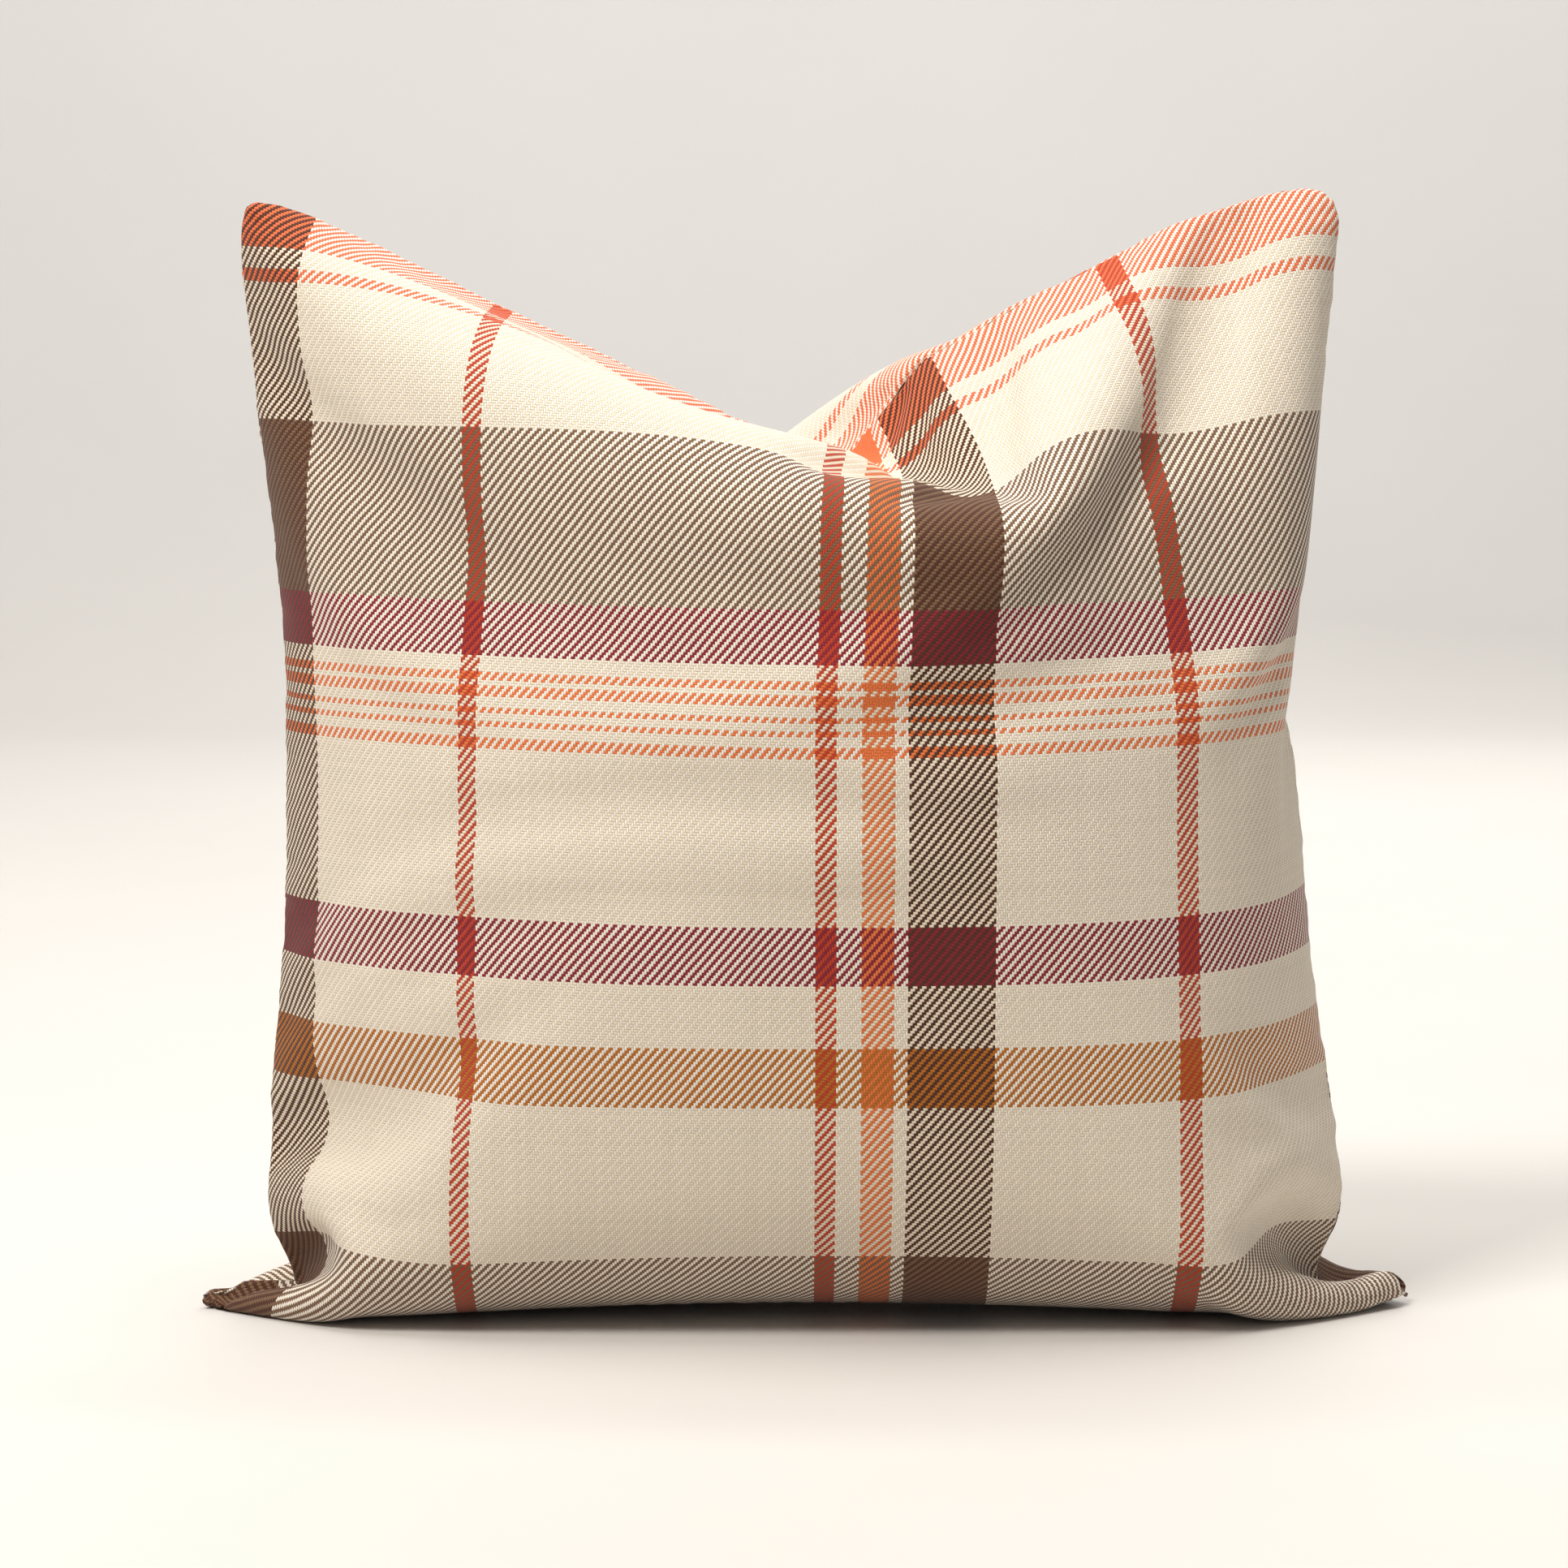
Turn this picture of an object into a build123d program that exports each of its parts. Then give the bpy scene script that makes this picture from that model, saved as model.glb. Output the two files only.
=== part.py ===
"""Throw pillow: a square, knife-edge plaid cover over a fibre-filled insert.

Frame: millimetres, +Z up, -Y is the face of the pillow, +X to the right of
the face.  The pillow stands on its bottom edge.  The origin is under the
middle of the object, on the surface that it stands on.

Every panel is one curved sheet: a grid of points gives its inner surface and
the sheet is thickened outwards from it.  The cover's two panels meet at the
seam plane y = 0 with a small gap, the insert's panels lie inside them, and
the fill lies inside the insert.
"""
from build123d import *
import math
import os

os.makedirs("parts", exist_ok=True)

# ------------------------------------------------------------ dimensions
COVER_T = 1.0            # cover cloth, with its loft
SHELL_T = 0.8            # insert cloth
COVER_DEPTH = 107.5      # seam plane to the inside of the cover's belly
SHELL_DEPTH = 104.0      # the same for the insert's shell
SEAM_GAP = 0.2           # half the gap between two panels at a seam
ZIP_GAP = 1.5            # half the gap at the zipper
SEAM_Z = 9.0             # height of the bottom seam
ZIP_END = 197.0          # the zipper runs from -ZIP_END to ZIP_END
TAPE_END = 203.0
COIL_IN, COIL_OUT = 0.9, 2.4        # a coil's nearest and farthest |y|
COIL_Z0, COIL_Z1 = 10.4, 12.4
TAPE_IN, TAPE_OUT = 2.5, 11.0
TAPE_Z, TAPE_T = 10.9, 0.5
SLIDER_X = 187.5         # the slider when the zipper is closed
HINGE_Z = 5.6            # pull tab's hinge
TAB_LEN, TAB_W, TAB_T = 18.0, 4.8, 1.0
PIN_R = 0.5              # pull tab's hinge pin
GRID = 24                # spans of a panel's surface grid
PATCH_GRID = 6           # the same for a label
THREAD_W, THREAD_T = 0.5, 0.12      # a seam's line of stitches: width, half thickness
THREAD_INSET = 1.2       # from the cover's edge to its stitch line
FILL_INSET = 5.0         # fill inside the shell, at the seam
LABEL_T = 0.4
LABEL_DROP = 0.8         # care label: from the cover's inner surface to its inner face
CARE_SPAN = (0.10, 0.17, 0.16, 0.23)        # u0, u1, v0, v1 on the back panel
INSERT_LABEL_SPAN = (0.62, 0.69, 0.20, 0.28)

# Half profile of the standing pillow at its widest: v, distance from the
# seam plane, height.  v runs from the bottom seam to the top seam.
COVER_PROFILE = [
    (0.00, 0.0, SEAM_Z), (0.02, 7.0, 6.4), (0.055, 20.0, 1.5), (0.09, 35.0, 0.65),
    (0.125, 50.0, 0.95), (0.17, 70.0, 12.0), (0.24, 90.0, 42.0), (0.34, 103.0, 92.0),
    (0.46, COVER_DEPTH, 152.0), (0.58, 105.5, 222.0), (0.71, 93.0, 297.0), (0.84, 68.0, 367.0),
    (0.94, 34.0, 424.0), (1.00, 0.0, 456.0)]
SHELL_PROFILE = [
    (0.00, 0.0, 32.0), (0.03, 9.0, 27.0), (0.06, 20.0, 18.0), (0.10, 36.0, 7.5),
    (0.135, 51.0, 6.5), (0.18, 69.0, 17.0), (0.25, 87.5, 46.0), (0.35, 100.0, 94.0),
    (0.46, SHELL_DEPTH, 152.0), (0.58, 102.0, 221.0), (0.71, 89.8, 295.0), (0.84, 64.5, 364.0),
    (0.94, 30.0, 418.0), (1.00, 0.0, 447.0)]

# Side seams seen from the face: height, x.
COVER_LEFT = [(9, -246), (17, -238), (27, -225), (45, -221), (60, -219), (120, -213), (170, -210),
              (250, -210), (290, -212), (350, -219), (410, -226), (456, -228)]
COVER_RIGHT = [(9, 245.9), (17, 238), (27, 224), (39, 217), (65, 212.5), (111, 203), (169, 199),
               (208, 196), (264, 188), (293, 192), (332, 196), (378, 201), (414, 207.5), (456, 210)]
SHELL_INSET = 8.0        # insert seam inside the cover seam, at the sides
# Height of each height step on a side seam, for the same v as the profile.
SIDE_Z = [(0.0, 9.0), (0.02, 12.0), (0.055, 17.0), (0.09, 24.0), (0.125, 33.0), (0.17, 47.0),
          (0.24, 74.0), (0.34, 122.0), (0.46, 184.0), (0.58, 250.0), (0.71, 320.0),
          (0.84, 383.0), (0.94, 428.0), (1.0, 456.0)]

# Top seam seen from the face: x, height.  A dent is pressed into it right of
# the middle, as with the edge of a hand.
TOP = [(-228, 450), (-172, 428), (-116, 406), (-55, 385), (-15, 367), (3, 357), (17, 369),
       (33, 386), (66, 406), (108, 421), (150, 441), (183, 453), (203, 458), (210, 452)]
DENT_X, DENT_W, DENT_Z0, DENT_Z1, DENT_D = 44.0, 36.0, 268.0, 372.0, 0.46


# ------------------------------------------------------------ surface maths
def curve(table, t, i=1):
    """Monotone cubic through a table's column i, read at t in column 0."""
    ts = [row[0] for row in table]
    ys = [row[i] for row in table]
    if t <= ts[0]:
        return ys[0]
    if t >= ts[-1]:
        return ys[-1]
    d = [(ys[k + 1] - ys[k]) / (ts[k + 1] - ts[k]) for k in range(len(ts) - 1)]
    m = [d[0]] + [0.0 if d[k - 1] * d[k] <= 0 else 2 * d[k - 1] * d[k] / (d[k - 1] + d[k])
                  for k in range(1, len(d))] + [d[-1]]
    k = max(j for j in range(len(d)) if ts[j] <= t)
    h = ts[k + 1] - ts[k]
    s = (t - ts[k]) / h
    return ((1 + 2 * s) * (1 - s) ** 2 * ys[k] + s * (1 - s) ** 2 * h * m[k]
            + s * s * (3 - 2 * s) * ys[k + 1] + s * s * (s - 1) * h * m[k + 1])


def ramp(t, a, b):
    """Smooth step from 0 at a to 1 at b."""
    s = min(1.0, max(0.0, (t - a) / (b - a)))
    return s * s * (3 - 2 * s)


def panel_point(u, v, profile, inset=0.0, zip_gap=0.0, side=-1):
    """Inner surface of a panel at u (left to right) and v (bottom to top)."""
    across = max(0.0, 1 - abs(2 * u - 1) ** 2.8) ** 0.6
    blend = 1 - (1 - across) ** 2
    rise = max(0.0, inset - SHELL_INSET)        # what lies inside the shell starts higher
    low, high = profile[0][2] + 0.78 * rise, profile[-1][2]
    # height: the profile in the middle, the side seam at the sides
    side_low = SIDE_Z[0][1] + inset * 2.2
    side_z = side_low + (curve(SIDE_Z, v) - SIDE_Z[0][1]) * (456.0 - inset - side_low) / 447.0
    lifted = rise * (0.6 * max(0.0, 1 - v / 0.05) + 0.18 * max(0.0, 1 - v / 0.35))
    z_raw = side_z * (1 - blend) + (curve(profile, v, 2) + lifted) * blend
    left = curve(COVER_LEFT, side_z) + inset
    right = curve(COVER_RIGHT, side_z) - inset
    x = left + (right - left) * u
    top = curve(TOP, x) - inset * 1.2 - rise * 0.8
    base = side_low * (1 - blend) + low * blend
    peak = (456.0 - inset) * (1 - blend) + high * blend
    z = z_raw - (peak - top) * max(0.0, (z_raw - base) / (peak - base)) ** 1.4
    # depth, with the dent drawn in from the top
    depth = curve(profile, v, 1) * across * (1 - 0.0024 * rise)
    dent = DENT_D * math.exp(-((x - DENT_X) / DENT_W) ** 2) * ramp(z, DENT_Z0, DENT_Z1)
    depth *= 1 - dent
    gap = SEAM_GAP + (zip_gap - SEAM_GAP) * ramp(u, 0.02, 0.05) * (1 - ramp(u, 0.95, 0.98)) \
        * max(0.0, 1 - v / 0.3) ** 2 if zip_gap else SEAM_GAP
    return Vector(x, side * (gap + depth), z)


def seam_points(inset):
    """Seam line of the cover's left, top and right sides, inset from its edge."""
    left = [(curve(COVER_LEFT, z) + inset, z) for z in (16, 22, 28, 36, 45, 60, 90, 120, 160, 200, 250,
                                                        290, 330, 370, 410, 440)]
    right = [(curve(COVER_RIGHT, z) - inset, z) for z in (440, 410, 378, 332, 310, 293, 278, 264, 245,
                                                          225, 208, 169, 140, 111, 85, 65, 45, 34, 26, 18)]
    top = [(x, curve(TOP, x) - inset - 0.6) for x in (-224, -200, -172, -140, -116, -85, -55, -35, -15,
                                                      -6, 3, 10, 17, 25, 33, 50, 66, 108, 150, 183, 198)]
    return left + top + right


def insert_seam_points(inset):
    """Seam line of the insert, all the way round."""
    steps = [k / 26 for k in range(26)]
    ring = [(0.0, s) for s in steps] + [(s, 1.0) for s in steps] + [(1.0, 1 - s) for s in steps] \
        + [(1 - s, 0.0) for s in steps]
    points = [panel_point(u, v, SHELL_PROFILE, SHELL_INSET + inset, ZIP_GAP) for u, v in ring]
    return [(p.X, p.Z) for p in points]


def strip(points, width):
    """Outline of a narrow strip along points, on the right-hand side of their direction."""
    shifted = []
    for k, (x, z) in enumerate(points):
        x0, z0 = points[max(0, k - 1)]
        x1, z1 = points[min(len(points) - 1, k + 1)]
        long = math.hypot(x1 - x0, z1 - z0)
        shifted.append((x + (z1 - z0) / long * width, z - (x1 - x0) / long * width))
    return points + shifted[::-1]


def panel_grid(profile, inset=0.0, zip_gap=0.0, side=-1, span=(0.0, 1.0, 0.0, 1.0), lift=0.0):
    """Points of a panel, or of the patch span of it, lifted along its outward normal."""
    u0, u1, v0, v1 = span
    count = GRID if u1 - u0 == 1.0 else PATCH_GRID
    rows = []
    for i in range(count + 1):
        row = []
        for j in range(count + 1):
            su, sv = (0.5 - 0.5 * math.cos(math.pi * k / count) for k in (i, j))
            u, v = u0 + (u1 - u0) * su, v0 + (v1 - v0) * sv
            args = (profile, inset, zip_gap, side)
            point = panel_point(u, v, *args)
            if lift:
                e = 2e-3
                du = panel_point(min(1.0, u + e), v, *args) - panel_point(max(0.0, u - e), v, *args)
                dv = panel_point(u, min(1.0, v + e), *args) - panel_point(u, max(0.0, v - e), *args)
                point = point + du.cross(dv).normalized() * (-side * lift)
            row.append(point)
        rows.append(row)
    return rows


def sheet_solid(low, high):
    """Closed sheet between two point grids: two curved faces and four ruled rims."""
    inner = Face.make_surface_from_array_of_points(low, tol=0.02, min_deg=3, max_deg=3)
    outer = Face.make_surface_from_array_of_points(high, tol=0.02, min_deg=3, max_deg=3)
    rims = []
    for edge in inner.edges():
        mate = min(outer.edges(), key=lambda e: ((e @ 0.5) - (edge @ 0.5)).length)
        rims.append(Face.make_surface_from_curves(edge, mate))
    return Solid(Shell([inner, outer, *rims]))


def panel(profile, thickness, lift=0.0, **where):
    """Sheet of a thickness, standing lift above the panel's inner surface."""
    return sheet_solid(panel_grid(profile, lift=lift, **where),
                       panel_grid(profile, lift=lift + thickness, **where))


# ------------------------------------------------------------ cover
cover_front_sheet = panel(COVER_PROFILE, COVER_T, zip_gap=ZIP_GAP, side=-1)
cover_back_sheet = panel(COVER_PROFILE, COVER_T, zip_gap=ZIP_GAP, side=1)

with BuildPart() as cover_front_panel:
    add(cover_front_sheet)
    # flat where the belly rests on the surface it stands on
    split(bisect_by=Plane.XY, keep=Keep.TOP)
cover_front_panel.part.label = "cover_front_panel"

with BuildPart() as cover_back_panel:
    add(cover_back_sheet)
    split(bisect_by=Plane.XY, keep=Keep.TOP)
cover_back_panel.part.label = "cover_back_panel"

# Sewing thread: the lines of lock stitch that join the panels on three sides,
# lying between them in the seam.
with BuildPart() as seam_thread:
    with BuildSketch(Plane.XZ) as seam_line:
        with BuildLine() as seam_path:
            Polyline(*strip(seam_points(THREAD_INSET), THREAD_W), close=True)
        make_face()
    extrude(amount=THREAD_T, both=True)
seam_thread.part.label = "seam_thread"

# ------------------------------------------------------------ insert
shell_front_sheet = panel(SHELL_PROFILE, SHELL_T, inset=SHELL_INSET, zip_gap=ZIP_GAP, side=-1)
shell_back_sheet = panel(SHELL_PROFILE, SHELL_T, inset=SHELL_INSET, zip_gap=ZIP_GAP, side=1)

with BuildPart() as insert_front_panel:
    add(shell_front_sheet)
insert_front_panel.part.label = "insert_front_panel"

with BuildPart() as insert_back_panel:
    add(shell_back_sheet)
insert_back_panel.part.label = "insert_back_panel"

with BuildPart() as insert_seam_thread:
    with BuildSketch(Plane.XZ) as insert_seam_line:
        with BuildLine() as insert_seam_path:
            Polyline(*insert_seam_points(1.5), close=True)
        make_face()
        offset(amount=-THREAD_W, kind=Kind.INTERSECTION, mode=Mode.SUBTRACT)
    extrude(amount=THREAD_T, both=True)
insert_seam_thread.part.label = "insert_seam_thread"

# The fill is one body: its front and back surfaces meet in a narrow rim.
fill_body = sheet_solid(panel_grid(SHELL_PROFILE, inset=SHELL_INSET + FILL_INSET, zip_gap=ZIP_GAP, side=1),
                        panel_grid(SHELL_PROFILE, inset=SHELL_INSET + FILL_INSET, zip_gap=ZIP_GAP, side=-1))
with BuildPart() as insert_fill:
    add(fill_body)
insert_fill.part.label = "insert_fill"

# ------------------------------------------------------------ labels
care_label_sheet = panel(COVER_PROFILE, LABEL_T, lift=-LABEL_DROP, side=1, span=CARE_SPAN)
with BuildPart() as care_label:
    add(care_label_sheet)
care_label.part.label = "care_label"

insert_label_sheet = panel(SHELL_PROFILE, LABEL_T, lift=SHELL_T + 0.3, inset=SHELL_INSET, side=1,
                           span=INSERT_LABEL_SPAN)
with BuildPart() as insert_label:
    add(insert_label_sheet)
insert_label.part.label = "insert_label"

# ------------------------------------------------------------ concealed zipper
tape_plane = Plane.XY.offset(TAPE_Z)
with BuildPart() as zipper_tape_front:
    with BuildSketch(tape_plane):
        with Locations((0, -(TAPE_IN + TAPE_OUT) / 2)):
            Rectangle(2 * TAPE_END, TAPE_OUT - TAPE_IN)
    extrude(amount=TAPE_T)
zipper_tape_front.part.label = "zipper_tape_front"

with BuildPart() as zipper_tape_back:
    with BuildSketch(tape_plane):
        with Locations((0, (TAPE_IN + TAPE_OUT) / 2)):
            Rectangle(2 * TAPE_END, TAPE_OUT - TAPE_IN)
    extrude(amount=TAPE_T)
zipper_tape_back.part.label = "zipper_tape_back"

coil_plane = Plane.YZ.offset(-ZIP_END + 2.0)
coil_w, coil_h = COIL_OUT - COIL_IN, COIL_Z1 - COIL_Z0
with BuildPart() as zipper_coil_front:
    with BuildSketch(coil_plane):
        with Locations((-(COIL_IN + COIL_OUT) / 2, (COIL_Z0 + COIL_Z1) / 2)):
            RectangleRounded(coil_w, coil_h, 0.6)
    extrude(amount=2 * ZIP_END - 4.0)
zipper_coil_front.part.label = "zipper_coil_front"

with BuildPart() as zipper_coil_back:
    with BuildSketch(coil_plane):
        with Locations(((COIL_IN + COIL_OUT) / 2, (COIL_Z0 + COIL_Z1) / 2)):
            RectangleRounded(coil_w, coil_h, 0.6)
    extrude(amount=2 * ZIP_END - 4.0)
zipper_coil_back.part.label = "zipper_coil_back"

with BuildPart() as zipper_top_stops:
    with BuildSketch(Plane.XY.offset(COIL_Z0 - 0.2)):
        with Locations((ZIP_END - 0.4, -(COIL_IN + COIL_OUT) / 2), (ZIP_END - 0.4, (COIL_IN + COIL_OUT) / 2)):
            Rectangle(2.4, coil_w)
    extrude(amount=coil_h + 0.4)
    fillet(zipper_top_stops.edges().filter_by(Axis.Z), 0.4)
zipper_top_stops.part.label = "zipper_top_stops"

with BuildPart() as zipper_bottom_stop:
    with BuildSketch(Plane.XY.offset(COIL_Z0 - 0.2)):
        with Locations((-ZIP_END + 0.2, 0)):
            Rectangle(2.8, 2 * COIL_OUT)
    extrude(amount=coil_h + 0.4)
    fillet(zipper_bottom_stop.edges().filter_by(Axis.Z), 0.5)
zipper_bottom_stop.part.label = "zipper_bottom_stop"

# The slider runs on the inside: a plate over the coils with two flanges, a
# neck that passes between them, and outside it a lug with the hinge hole.
with BuildPart() as zipper_slider:
    with BuildSketch(Plane.XY.offset(COIL_Z1 + 0.5)):
        with Locations((SLIDER_X, 0)):
            RectangleRounded(11.0, 7.4, 2.0)
    extrude(amount=1.2)
    with BuildSketch(Plane.XY.offset(TAPE_Z + TAPE_T + 0.4)):
        with Locations((SLIDER_X, -3.3), (SLIDER_X, 3.3)):
            Rectangle(6.4, 0.7)
    extrude(amount=COIL_Z1 + 0.6 - (TAPE_Z + TAPE_T + 0.4))
    with BuildSketch(Plane.XZ) as neck:
        with BuildLine():
            Polyline((SLIDER_X - 2.2, COIL_Z1 + 0.7), (SLIDER_X - 2.2, HINGE_Z + 1.0),
                     (SLIDER_X - 1.5, HINGE_Z - 1.4), (SLIDER_X + 1.5, HINGE_Z - 1.4),
                     (SLIDER_X + 2.2, HINGE_Z + 1.0), (SLIDER_X + 2.2, COIL_Z1 + 0.7), close=True)
        make_face()
        with Locations((SLIDER_X, HINGE_Z)):
            Circle(PIN_R + 0.2, mode=Mode.SUBTRACT)
    extrude(amount=0.55, both=True)
zipper_slider.part.label = "zipper_slider"

with BuildPart() as zipper_pull_tab:
    # two cheeks beside the slider's lug, joined by the hinge pin
    with BuildSketch(Plane.XZ.offset(0.9)):
        with Locations((SLIDER_X, HINGE_Z)):
            Circle(1.1)
        with Locations((SLIDER_X + 2.2, HINGE_Z)):
            Rectangle(4.4, 1.4)
    extrude(amount=0.9)
    with BuildSketch(Plane.XZ.offset(-0.9)):
        with Locations((SLIDER_X, HINGE_Z)):
            Circle(1.1)
        with Locations((SLIDER_X + 2.2, HINGE_Z)):
            Rectangle(4.4, 1.4)
    extrude(amount=-0.9)
    with BuildSketch(Plane.XZ):
        with Locations((SLIDER_X, HINGE_Z)):
            Circle(PIN_R)
    extrude(amount=1.4, both=True)
    with BuildSketch(Plane.XY.offset(HINGE_Z - TAB_T / 2)):
        with Locations((SLIDER_X + 3.4 + TAB_LEN / 2, 0)):
            RectangleRounded(TAB_LEN, TAB_W, 2.0)
        with Locations((SLIDER_X + 3.4 + TAB_LEN - 3.6, 0)):
            Circle(1.2, mode=Mode.SUBTRACT)
    extrude(amount=TAB_T)
zipper_pull_tab.part.label = "zipper_pull_tab"

# ------------------------------------------------------------ files
for piece in (cover_front_panel, cover_back_panel, seam_thread, insert_front_panel,
              insert_back_panel, insert_seam_thread, insert_fill, care_label, insert_label,
              zipper_tape_front, zipper_tape_back, zipper_coil_front, zipper_coil_back,
              zipper_top_stops, zipper_bottom_stop, zipper_slider, zipper_pull_tab):
    export_step(piece.part, "parts/" + piece.part.label + ".step")
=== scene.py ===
"""Throw pillow: the visual model.  The cover's cloth is simulated, then every
hidden piece is nested inside the settled shape.  Metres, +Z up, -Y is the face."""
import bpy
import math
import numpy as np
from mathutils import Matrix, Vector
from mathutils.bvhtree import BVHTree


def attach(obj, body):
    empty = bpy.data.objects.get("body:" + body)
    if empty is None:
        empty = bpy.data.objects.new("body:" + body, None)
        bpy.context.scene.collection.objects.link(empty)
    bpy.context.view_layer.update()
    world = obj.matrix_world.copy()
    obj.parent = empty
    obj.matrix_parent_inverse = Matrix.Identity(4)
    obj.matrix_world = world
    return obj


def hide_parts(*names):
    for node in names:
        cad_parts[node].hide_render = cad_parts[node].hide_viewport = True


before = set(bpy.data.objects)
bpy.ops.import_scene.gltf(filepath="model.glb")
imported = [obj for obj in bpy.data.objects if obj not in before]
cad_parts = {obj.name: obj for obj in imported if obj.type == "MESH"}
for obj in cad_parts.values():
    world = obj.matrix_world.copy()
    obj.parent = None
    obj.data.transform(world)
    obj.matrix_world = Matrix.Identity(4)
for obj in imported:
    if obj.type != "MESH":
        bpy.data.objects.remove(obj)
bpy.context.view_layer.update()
BODY = "pillow"

# ------------------------------------------------------------------ cloth
SIDE = 0.500          # finished edge of the cover, laid flat

# ---- seam targets seen from the face, metres, by position along the seam (0..1 of the cloth)
def tab(rows):
    a = np.array(rows, float)
    return a
LEFT = tab([(0.00, -0.244, 0.012), (0.05, -0.236, 0.016), (0.11, -0.226, 0.022), (0.16, -0.2205, 0.032), (0.304, -0.2165, 0.103), (0.342, -0.2145, 0.122),
            (0.394, -0.212, 0.148), (0.44, -0.2105, 0.171), (0.51, -0.2100, 0.205), (0.576, -0.2095, 0.239), (0.626, -0.2090, 0.2645),
            (0.686, -0.2115, 0.2948), (0.75, -0.215, 0.327), (0.816, -0.2195, 0.360), (0.926, -0.2260, 0.415), (1.00, -0.2285, 0.4515)])
RIGHT = tab([(0.00, 0.247, 0.008), (0.05, 0.238, 0.016), (0.11, 0.225, 0.028), (0.16, 0.217, 0.039), (0.25, 0.2125, 0.080), (0.295, 0.2085, 0.101), (0.343, 0.204, 0.127),
             (0.394, 0.2005, 0.149), (0.438, 0.199, 0.176), (0.505, 0.1965, 0.208), (0.545, 0.194, 0.232), (0.590, 0.187, 0.258), (0.61, 0.1855, 0.266),
             (0.65, 0.190, 0.280), (0.69, 0.193, 0.2975), (0.75, 0.196, 0.331), (0.82, 0.2005, 0.366), (0.90, 0.2055, 0.403), (0.96, 0.209, 0.434), (1.00, 0.2105, 0.4530)])
# top seam by cloth position: x, z; the dent lies near 0.51
TOPS = tab([(0.00, -0.2285, 0.4515), (0.06, -0.199, 0.441), (0.12, -0.170, 0.428), (0.216, -0.124, 0.405), (0.30, -0.087, 0.388), (0.38, -0.050, 0.369),
            (0.45, -0.020, 0.357), (0.51, 0.003, 0.348), (0.532, 0.011, 0.355), (0.567, 0.021, 0.365), (0.632, 0.043, 0.382), (0.71, 0.077, 0.402),
            (0.79, 0.114, 0.421), (0.86, 0.147, 0.438), (0.93, 0.179, 0.452), (0.97, 0.199, 0.457), (1.00, 0.2105, 0.4530)])
BOTTOM = tab([(0.00, -0.244, 0.012), (0.04, -0.226, 0.010), (0.10, -0.198, 0.0088), (0.50, 0.0, 0.0088), (0.90, 0.199, 0.0088), (0.96, 0.229, 0.009), (1.0, 0.247, 0.009)])
SIDE_W = tab([(0.0, 0.0), (0.12, 0.0), (0.17, 1.0), (1.0, 1.0)])       # how firmly a side seam follows its line

# height of the face's threads at the middle of the pillow, by cloth position from the bottom
MID_Z = tab([(0.16, 0.033), (0.294, 0.0985), (0.50, 0.2005), (0.818, 0.357)])

def lookup(t, table):
    return np.stack([np.interp(t, table[:, 0], table[:, k]) for k in range(1, table.shape[1])], -1)

def start_shape(n):
    """Rough standing pillow: Coons patch of the seams, with a bulge."""
    t = np.linspace(0, 1, n + 1)
    u, v = np.meshgrid(t, t, indexing="ij")
    L, R, T, B = (lookup(t, k) for k in (LEFT, RIGHT, TOPS, BOTTOM))
    c = (1 - u)[..., None] * L[None] + u[..., None] * R[None] + (1 - v)[..., None] * B[:, None] + v[..., None] * T[:, None]
    c -= ((1 - u) * (1 - v))[..., None] * B[0] + (u * (1 - v))[..., None] * B[-1] + ((1 - u) * v)[..., None] * T[0] + (u * v)[..., None] * T[-1]
    f = np.maximum(0, 1 - np.abs(2 * u - 1) ** 2.6) ** 0.62
    g = np.interp(v, [0, .04, .10, .17, .24, .34, .46, .58, .71, .84, .94, 1], [0, 20, 50, 70, 90, 103, 107, 105, 93, 68, 34, 0]) / 1000
    y = f * g
    zz = np.interp(v, [0, .04, .10, .14, .17, .24, .34, .46, .58, .71, .84, .94, 1], [7, 2, 1, 6, 14, 45, 92, 152, 222, 297, 367, 424, 456]) / 1000
    w = 1 - (1 - f) ** 2
    top = T[:, 1][:, None]
    z = c[..., 1] * (1 - w) + w * (zz * (0.25 * 1 + 0.75 * top / 0.456))
    z = np.where(v > 0.14, z, c[..., 1] * (1 - w) + w * zz)
    P = np.empty((2, n + 1, n + 1, 3))
    P[0] = np.stack([c[..., 0], -y, z], -1)
    P[1] = np.stack([c[..., 0], y, z], -1)
    return P

def weld(P):
    for sl in ((0, slice(None)), (-1, slice(None)), (slice(None), 0), (slice(None), -1)):
        m = 0.5 * (P[0][sl] + P[1][sl])
        P[0][sl] = m
        P[1][sl] = m

def pull(A, B, rest, k_long, k_short):
    """Moves two equal slices towards (or away from) their rest distance."""
    d = B - A
    ln = np.sqrt(np.einsum("...k,...k->...", d, d)) + 1e-12
    s = (ln - rest) / ln
    s *= np.where(s > 0, k_long, k_short) * 0.5
    d *= s[..., None]
    A += d
    B -= d

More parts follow.
